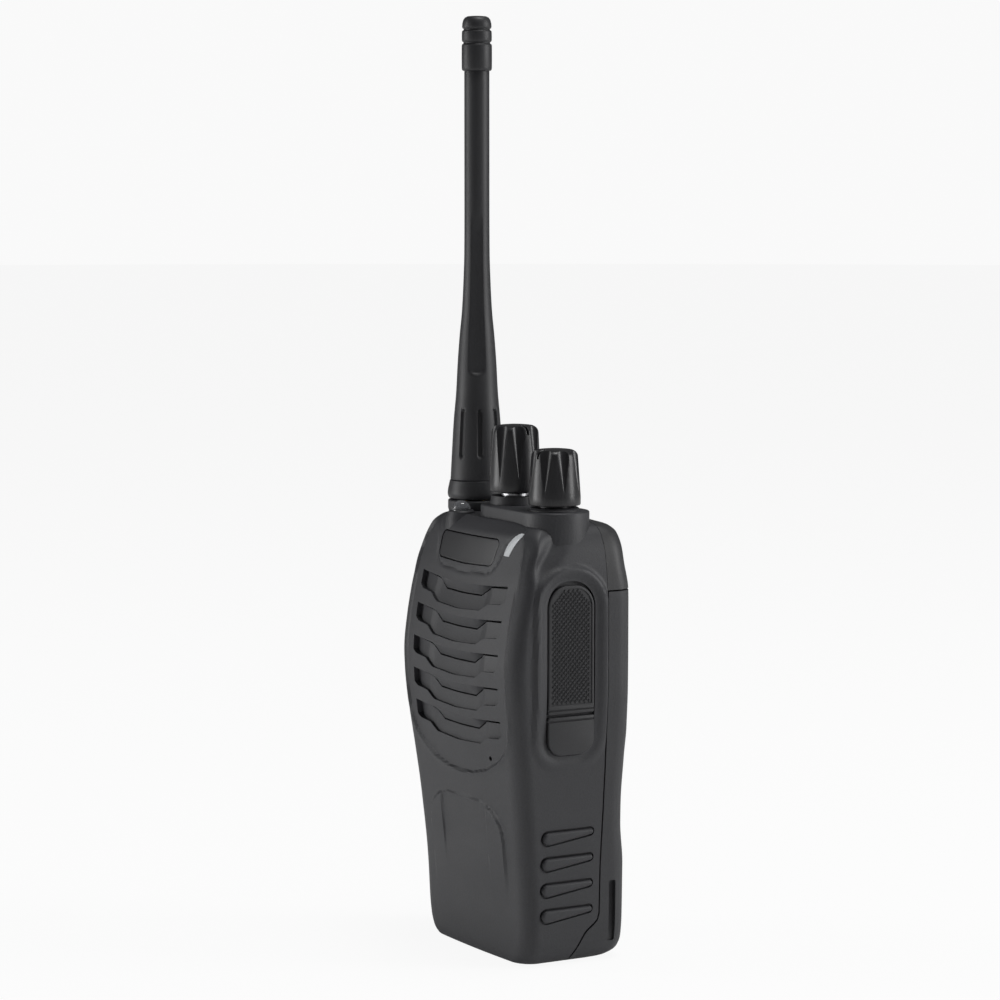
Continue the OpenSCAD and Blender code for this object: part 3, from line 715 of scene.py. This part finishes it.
def behind_face(name, depth, outline):
    """An outline prism that stops this deep behind the face."""
    core = skin("core", CORE, inset=depth, deep=depth)
    return cut(prism(name, outline, "Y", OUTSIDE, 0), core)


PLATE_BACK, LIGHT_BACK = 1.5, 1.7
cut(case, behind_face("plate_pocket", PLATE_BACK, plate_outline(0.34)))
cut(case, behind_face("light_pocket", LIGHT_BACK, light_outline(0.10)))
print("face pockets cut:", len(case.data.polygons), "faces")

# %% Round holes
def hole(x, y, r, low, high, axis="Z", n=40):
    """A round cutter or pin along an axis."""
    return prism("hole", arc(x, y, r, 0, 360, n)[:-1], axis, low, high)


MIC_X, MIC_Z = 15.2, 52.6
cut(case, hole(MIC_X, MIC_Z, 0.62, -20, -8, "Y"), hole(LAMP_X, LAMP_Y, 2.55, 105, 120))
for x in (CHANNEL_X, VOLUME_X, ANTENNA_X):
    cut(case, hole(x, CTL_Y, 3.6, 105, 120))
print("round holes cut")

# %% Seat of the jack cover and holes of the side keys
cut(case, prism("seat", COVER_SEAT, "X", 28.75, 34))
cut(case, prism("window", rounded((-5, 69), (4, 91), 2), "X", 24, 30))


def key_outline(half, low, high, g=0.0):
    return rounded((-half - g, low - g), (half + g, high + g), min(half, (high - low) / 2) - 0.35 + g)


KEYS = {"ptt": (6, 66, 92), "monitor": (4, 57.5, 62.5), "torch": (4, 48.5, 53.5)}
for half, low, high in KEYS.values():
    cut(case, prism("key_hole", key_outline(half, low, high, 0.28), "X", -36, -24))
print("seat and key holes cut:", len(case.data.polygons), "faces")

# %% Ribs on the jack side
RIB_PITCH, RIB_FOOT, RIBS = 6.66, 13.2, 4
RIB_FRONT, RIB_LONG, RIB_RISE = -6.2, 12.3, 0.85


def drop(z, g=0.0):
    """A drop lying on its side, its big end forward and its upper edge level."""
    lean = math.degrees(math.atan2(RIB_RISE, RIB_LONG))
    touch = math.degrees(math.acos(RIB_RISE / math.hypot(RIB_LONG, RIB_RISE)))
    return (arc(RIB_FRONT, z, 1.6 + g, lean + touch, lean + 360 - touch, 26)
            + arc(RIB_FRONT + RIB_LONG, z + RIB_RISE, 0.75 + g, lean - touch, lean + touch, 14))


for k in range(RIBS):
    z = RIB_FOOT + k * RIB_PITCH
    wall = float(through(HALF_WIDTH, np.array(z)))
    cut(case, prism("rib_seat", drop(z, 0.5), "X", wall - 0.7, 34))
    rib = prism("rib", drop(z), "X", wall - 1.2, wall + 0.85)
    soften(rib, 0.72, 6, 60)
    fuse(case, rib)
smooth_shade(case)
settle(case, "radio", case_plastic, "front_case")

# %% [markdown]
# ## Nameplate, status light and lamp
# These three are pressed in from outside. Each is cut from its outline so that its face
# follows the shell. The lamp is a clear dome with a small reflector cup and its chip inside,
# because a clear lens with nothing behind it looks like a hole.

# %% Nameplate
def flush(depth):
    """The face of the shell moved in by this depth, or out below zero, to end a pressed-in piece."""
    return skin("flush", DENSE_FRONT, inset=depth, deep=depth, relief=front_relief)


plate = combine(prism("nameplate_panel", plate_outline(), "Y", OUTSIDE, 0), flush(0.10), "INTERSECT")
cut(plate, skin("core", CORE, inset=PLATE_BACK, deep=PLATE_BACK))
soften(plate, 0.14, 2, 50)
smooth_shade(plate)
settle(plate, "radio", nameplate_film, "nameplate")

# %% Status light
light = combine(prism("status_light", light_outline(), "Y", OUTSIDE, 0), flush(-0.06), "INTERSECT")
cut(light, skin("core", CORE, inset=LIGHT_BACK, deep=LIGHT_BACK))
smooth_shade(light)
settle(light, "radio", light_pipe, "status_light_guide")

# %% Torch lamp
LAMP_R, DOME_Z = 2.5, 112.8
dome = [(LAMP_R * math.cos(a), DOME_Z + LAMP_R * math.sin(a)) for a in np.radians(np.arange(6, 90, 6))]
lamp = turned("torch_lamp", [(2.0, 107), (LAMP_R, 107), (LAMP_R, DOME_Z)] + dome, LAMP_X, LAMP_Y, 48)
smooth_shade(lamp)
settle(lamp, "radio", lamp_lens, "torch_led")
CUP = [(0.7, 108), (0.7, 110.6), (1.5, 112.2), (1.2, 112.2), (0.55, 110.9), (0.3, 110.9), (0.25, 111.15)]
cup = turned("torch_lamp_cup", CUP, LAMP_X, LAMP_Y, 32)
smooth_shade(cup, 40)
settle(cup, "radio", shield_tin)

# %% [markdown]
# ## Knobs
# Both knobs are turned bodies with eight finger flutes. A flute is wide at the top and runs
# out towards the foot, which is what a leaning cone leaves when it is cut away. A groove
# across the rim points to the setting.

# %% Flutes and pointer of a knob
FLUTES = 8


def about_axis(x, turn, out, across, z):
    """Places given outwards and across from a control's upright axis, turned about it."""
    return np.column_stack([x + out * math.cos(turn) - across * math.sin(turn),
                            CTL_Y + out * math.sin(turn) + across * math.cos(turn), z])


def flute(x, foot, top, r_foot, r_top, turn):
    """A leaning cone, wide above the top of the knob and thin near its foot."""
    deselect()
    bpy.ops.mesh.primitive_cone_add(vertices=28, radius1=2.6, radius2=0.02, depth=1)
    obj = take("flute")
    co = points(obj)
    t = 0.5 - co[:, 2]
    low = foot + 2.3
    tall = top + 2.6 - low
    middle = r_foot + 0.12 - (r_foot - r_top - 0.55) * t
    set_points_mm(obj, about_axis(x, turn, middle + co[:, 0], co[:, 1], low + tall * t))
    flip_if_inside_out(obj)
    return obj


def pointer_groove(x, top, turn):
    line = block("line", (3.3, -0.33, top - 2.4), (9, 0.33, top + 1))
    out, across, z = (points(line) / MM).T
    set_points_mm(line, about_axis(x, turn, out, across, z))
    return line


# %% Knobs
def knob_profile(foot, top, r_foot, r_top):
    """A short skirt, a slight taper and a rounded rim."""
    skirt = [(3.2, foot), (r_foot - 0.35, foot), (r_foot - 0.08, foot + 0.12), (r_foot, foot + 0.4),
             (r_foot, foot + 2.2)]
    rise = top - foot
    taper = [(r_foot + (r_top - r_foot) * t, foot + 2.2 + (rise - 4.2) * t) for t in (0.25, 0.5, 0.75, 1.0)]
    rim = [(r_top - 2.0 * (1 - math.cos(a)), top - 2.0 + 2.0 * math.sin(a) * 0.9)
           for a in np.radians([15, 30, 45, 60, 75])]
    return skirt + taper + rim + [(r_top - 2.15, top - 0.16), (r_top - 3.4, top - 0.04), (1.2, top)]


def knob(name, x, foot, top, r_foot, r_top, pointer, seat):
    """A knob whose pointer groove stands at this angle, with a seat for the nut under it."""
    body = turned(name, knob_profile(foot, top, r_foot, r_top), x, CTL_Y, 96)
    for k in range(FLUTES):
        turn = math.radians(pointer + 22.5 + 45 * k)
        cut(body, flute(x, foot, top, r_foot, r_top, turn))
    cut(body, pointer_groove(x, top, math.radians(pointer)))
    cut(body, hole(x, CTL_Y, 3.02, foot - 1, top - 2.4))
    if seat:
        cut(body, hole(x, CTL_Y, 4.7, foot - 1, foot + seat))
    soften(body, 0.16, 2, 24)
    return smooth_shade(body, 40)


channel = knob("channel_knob_fluted", CHANNEL_X, 118.3, 135.4, 6.6, 6.05, 2, 0)
settle(channel, "channel_control", knob_plastic, "channel_knob")
volume = knob("volume_knob_fluted", VOLUME_X, 116.4, 130.6, 6.6, 5.9, -76, 1.4)
settle(volume, "volume_control", knob_plastic, "volume_knob")

# %% [markdown]
# ## Antenna
# The antenna is a rubber sheath over a helical whip. It has a round collar with a fine ring,
# eight round-ended grip grooves and a long flat with a rounded foot. The grooves are pressed
# into a dense turned skin, because they are soft, and the tip is a separate cap.

# %% Sheath
SHEATH = [(6.9, 114.9), (7.35, 115.05), (7.6, 115.5), (7.7, 116.2), (7.65, 116.9), (7.5, 117.8),
          (7.2, 119.1), (7.12, 119.55), (6.78, 119.75), (6.98, 119.95), (6.92, 120.3)]
TAPER = [(120.3, 6.92), (126, 6.62), (135, 6.1), (142.6, 5.45), (150, 5.06), (157, 4.55), (164, 3.9),
         (172, 3.5), (179, 3.3), (190, 3.25), (226, 3.25)]
GROOVE_STEP, GROOVE_TURN = math.radians(45), math.radians(-22.5)
GROOVE_Z, GROOVE_HALF, GROOVE_DEPTH = 132.0, 5.6, 0.62
FLAT_TURN, FLAT_FOOT, FLAT_TOP = math.radians(-30), 147, 190


def sheath():
    """The turned rubber body, with its grooves and its flat pressed in."""
    zs = np.concatenate([np.arange(120.8, 192, 0.42), np.arange(192.5, 225.6, 3.0)])
    taper = [(float(through(TAPER, np.array(z))), float(z)) for z in zs]
    body = turned("antenna_sheath_rubber", SHEATH + taper + [(3.2, 225.6), (2.4, 225.6)], 0, 0, 168)
    co = points(body) / MM
    r, turn, z = np.hypot(co[:, 0], co[:, 1]), np.arctan2(co[:, 1], co[:, 0]), co[:, 2]
    across = ((turn - GROOVE_TURN + GROOVE_STEP / 2) % GROOVE_STEP - GROOVE_STEP / 2) * r
    along = np.maximum(np.abs(z - GROOVE_Z) - GROOVE_HALF, 0)
    reach = np.hypot(across, along)
    r = r - GROOVE_DEPTH * ease(0.78, 0.42, reach) * (r > 3)
    lean = np.angle(np.exp(1j * (turn - FLAT_TURN)))
    side = np.abs(r * np.sin(lean))
    foot = z - FLAT_FOOT - 0.16 * side ** 2
    flat = ease(0.0, 1.1, foot) * ease(FLAT_TOP, FLAT_TOP - 6, z) * (np.cos(lean) > 0.2)
    goal = np.minimum(r, (r * 0.86 + 0.03 * side ** 2) / np.maximum(np.cos(lean), 0.3))
    r = np.where(flat > 0, r + (goal - r) * flat, r)
    set_points_mm(body, np.column_stack([ANTENNA_X + r * np.cos(turn), CTL_Y + r * np.sin(turn), z]))
    return body


rubber = sheath()
cut(rubber, hole(ANTENNA_X, CTL_Y, 5.02, 110, 122))
smooth_shade(rubber, 40)
settle(rubber, "antenna", antenna_rubber, "antenna_sheath")

# %% Tip cap
TIP_TOP = 239.7
TIP = [(3.2, -14.1), (3.55, -14.05), (3.82, -13.8), (3.9, -13.3), (3.92, -11), (3.9, -7.6), (3.78, -7.25),
       (3.5, -7.1), (3.42, -6.9), (3.5, -6.7), (3.76, -6.55), (3.86, -6.2), (3.88, -5.2), (3.84, -4.1),
       (3.74, -3.8), (3.46, -3.65), (3.38, -3.45), (3.44, -3.28), (3.7, -3.15), (3.8, -2.8), (3.74, -1.9),
       (3.5, -1.0), (3.05, -0.42), (2.4, -0.1), (1.4, 0)]
tip = turned("antenna_tip", [(r, TIP_TOP + z) for r, z in TIP], ANTENNA_X, CTL_Y, 72)
smooth_shade(tip, 50)
settle(tip, "antenna", antenna_rubber, "antenna_tip_cap")

# %% [markdown]
# ## Jack cover
# A rubber flap closes the accessory jacks. Its face is covered in small raised diamonds
# inside a plain rim, and two fold grooves cross it. The strip below the fold is fixed to the
# case, so it is a piece of its own. One diamond is modelled and copied in staggered rows.

# %% Flap and anchor strip
COVER_OUTLINE = (arc(0.1, 91.6, 5.6, 0, 90, 12) + arc(-2.1, 91.6, 5.6, 90, 180, 12)
                 + arc(-3.5, 58.6, 4.2, 180, 270, 10) + arc(1.5, 58.6, 4.2, 270, 360, 10))
flap = prism("jack_cover_flap", COVER_OUTLINE, "X", 28.85, 30.2)
combine(flap, block("zone", (20, -20, 64.9), (40, 20, 110)), "INTERSECT")
soften(flap, 0.4, 3, 40)
FIELD = arc(0.1, 91.6, 4.9, 0, 90, 12) + arc(-2.1, 91.6, 4.9, 90, 180, 12) + [(-7.0, 67.2), (5.0, 67.2)]
field = prism("field", FIELD, "X", 29.98, 31)
cut(flap, field, block("fold", (29.75, -20, 65.75), (32, 20, 66.2)))


def one_diamond():
    """A low four-sided cone, and its points turned so that it stands out sideways, in mm."""
    deselect()
    bpy.ops.mesh.primitive_cone_add(vertices=4, radius1=0.66, radius2=0.2, depth=0.4)
    obj = take("diamond")
    co = points(obj)
    return obj, np.column_stack([co[:, 2], co[:, 0] * 0.95, co[:, 1]])


DIAMOND_WIDE, DIAMOND_TALL = 1.3, 1.36
diamond, shape = one_diamond()
bumps = []
for n, z in enumerate(np.arange(67.9, 96.6, DIAMOND_TALL / 2)):
    for y in np.arange(-7.5 + (n % 2) * DIAMOND_WIDE / 2, 5.2, DIAMOND_WIDE):
        if edge_distance(np.array([y]), np.array([z]), FIELD)[0] < -0.5:
            copy = diamond.copy()
            copy.data = diamond.data.copy()
            bpy.context.collection.objects.link(copy)
            set_points_mm(copy, shape + np.array([30.1, y, z]))
            bumps.append(copy)
bpy.data.objects.remove(diamond)
only(flap)
for bump in bumps:
    bump.select_set(True)
bpy.ops.object.join()
smooth_shade(flap)
settle(flap, "cover", cover_rubber, "jack_cover")
print("diamonds:", len(bumps))

# %% Anchor strip
strip = prism("jack_cover_anchor_strip", COVER_OUTLINE, "X", 28.78, 30.15)
combine(strip, block("zone", (20, -20, 50), (40, 20, 64.3)), "INTERSECT")
soften(strip, 0.4, 3, 40)
cut(strip, block("fold", (29.65, -20, 63.0), (32, 20, 63.5)))
smooth_shade(strip)
settle(strip, "radio", cover_rubber, "jack_cover_anchor")

# %% [markdown]
# ## Talk button and side keys
# The keys are rubber caps that stand a little out of the case, with a flange behind the wall
# that keeps them in. The talk button has grip bars, and each small key has one raised mark so
# that a thumb can tell them apart.

# %% Side keys
def side_key(name, key, face, wall, inside):
    half, low, high = KEYS[key]
    cap = prism(name, key_outline(half, low, high), "X", face, inside)
    soften(cap, 0.55, 4, 60)
    return fuse(cap, prism("flange", key_outline(half, low, high, 0.9), "X", wall, inside))


ptt = side_key("talk_button", "ptt", -30.9, -27.9, -26.8)
for k in range(5):
    bar = block("bar", (-31.15, -3.6, 74.05 + 2.4 * k), (-30.4, 3.6, 74.95 + 2.4 * k))
    fuse(ptt, soften(bar, 0.25, 3))
settle(smooth_shade(ptt), "ptt", key_rubber, "ptt_button")
monitor = side_key("monitor_key_cap", "monitor", -29.9, -26.7, -26.1)
fuse(monitor, soften(block("mark", (-30.15, -1.6, 59.6), (-29.5, 1.6, 60.4)), 0.2, 3))
settle(smooth_shade(monitor), "monitor", key_rubber, "monitor_key")
torch = side_key("torch_key_cap", "torch", -29.4, -26.55, -26.1)
fuse(torch, soften(prism("mark", arc(0, 51, 0.7, 0, 360, 24)[:-1], "X", -29.65, -29), 0.2, 3))
settle(smooth_shade(torch), "torch", key_rubber, "torch_key")

# %% [markdown]
# ## Chassis
# The metal chassis closes the back of the shell. Only its top block is seen while the battery
# is on, and it carries the two screw holes of a belt clip. The plate, the pillars and the
# battery rails below it come into view when the battery slides off.

# %% Chassis block, plate and rails
chassis = skin("chassis_casting", DENSE_BACK)
combine(chassis, block("zone", (-40, SEAM + 0.1, 95.3), (40, 30, 120)), "INTERSECT")
link = skin("link", COARSE, inset=2.1, deep=3)
combine(link, block("zone", (-24, 8.5, 95.3), (24, 10, 108)), "INTERSECT")
plate_block = block("plate", (-24, 6.4, 16.5), (24, 8.9, 106))
fuse(chassis, link, plate_block)
for x in (-22, 22):
    for z in (30, 72):
        fuse(chassis, block("stem", (x - 0.6, 8.5, z), (x + 0.6, 11.6, z + 6)))
        fuse(chassis, block("head", (x - 1.6, 11.5, z), (x + 1.6, 12.4, z + 6)))
for x in (-19, 19):
    for z in (26, 92):
        fuse(chassis, hole(x, z, 2, 6.2, 7, "Y"))
        cut(chassis, hole(x, z, 1.1, 6, 10, "Y"), hole(x, z, 2.1, 8, 10, "Y"))
cut(chassis, prism("clip_seat", rounded((-13, 97.5), (13, 108.5), 2), "Y", 16.3, 21))
cut(chassis, block("window", (-7, 6, 84), (7, 9.5, 90)))
for x in (-8, 8):
    cut(chassis, hole(x, 103, 1.25, 10.7, 20, "Y"))
for z in np.arange(36, 70, 8):
    fuse(chassis, block("web", (-16, 8.7, z), (16, 9.25, z + 1.2)))
settle(smooth_shade(chassis), "radio", chassis_metal, "chassis")

# %% [markdown]
# ## Battery
# The battery's outer wall is the back half of the same form, so the seam closes evenly all
# round. Its back has a shallow label panel and a few grip ridges, its sides have the slots
# that guide it in a charger, and its foot wraps under the front shell.

# %% Battery shell
BACK_ZONE = [(40, -5), (2.4, -5), (2.4, 1.5), (2.7, 2.4), (3.5, 4.0), (4.7, 6.35), (5.3, 7.4), (6.05, 8.25),
             (8.05, 9.75), (8.95, 10.75), (9.45, 12.5), (9.6, 25), (10, 40), (10, 94.9), (40, 94.9)]
LABEL = rounded((-19, 34), (19, 70), 2.5)


def back_relief(x, y, z, nx, ny):
    """The sunk label panel and the grip ridges."""
    push = np.zeros(len(x))
    rear = np.flatnonzero(ny > 0.9)
    u, v = x[rear], z[rear]
    push[rear] -= 0.3 * ease(0.35, -0.25, edge_distance(u, v, LABEL))
    bar = np.abs((v - 78) % 2.6 - 1.3) - 0.5
    grip = ease(0.3, -0.2, bar) * (v > 76.8) * (v < 90.9) * ease(17, 15.5, np.abs(u))
    push[rear] += 0.4 * grip
    return push


shell = skin("battery_case", DENSE_BACK, relief=back_relief)
combine(shell, prism("zone", BACK_ZONE, "X", -45, 45), "INTERSECT")
room = skin("room", COARSE, inset=1.9, deep=1.5)
combine(room, block("zone", (-40, SEAM - 1, 14.5), (40, 20, 93)), "INTERSECT")
cut(shell, room)
for x in (-30.2, 25.6):
    cut(shell, prism("guide", rounded((12.1, 4.9), (14.1, 20.6), 0.5), "X", x, x + 4.6))
for x in (-9, 9):
    cut(shell, hole(x, 9, 2.6, 17.8, 21, "Y"))
cut(shell, block("latch_room", (-8.3, 4.7, -1), (8.3, 14.3, 3.4)))
cut(shell, block("latch_room", (-6.3, 6.7, 1), (6.3, 14.25, 4.6)))
settle(smooth_shade(shell), "battery", battery_plastic, "battery_shell")

# %% Latch
latch = block("battery_latch_slider", (-8, 5, 0.6), (8, 11.6, 3.1))
fuse(latch, block("neck", (-6, 7, 3), (6, 11.55, 4.3)))
for k in range(4):
    cut(latch, block("grip", (-5, 6 + 1.3 * k, 0), (5, 6.6 + 1.3 * k, 1.0)))
soften(latch, 0.18, 2, 40)
settle(smooth_shade(latch), "latch", battery_plastic, "battery_latch")
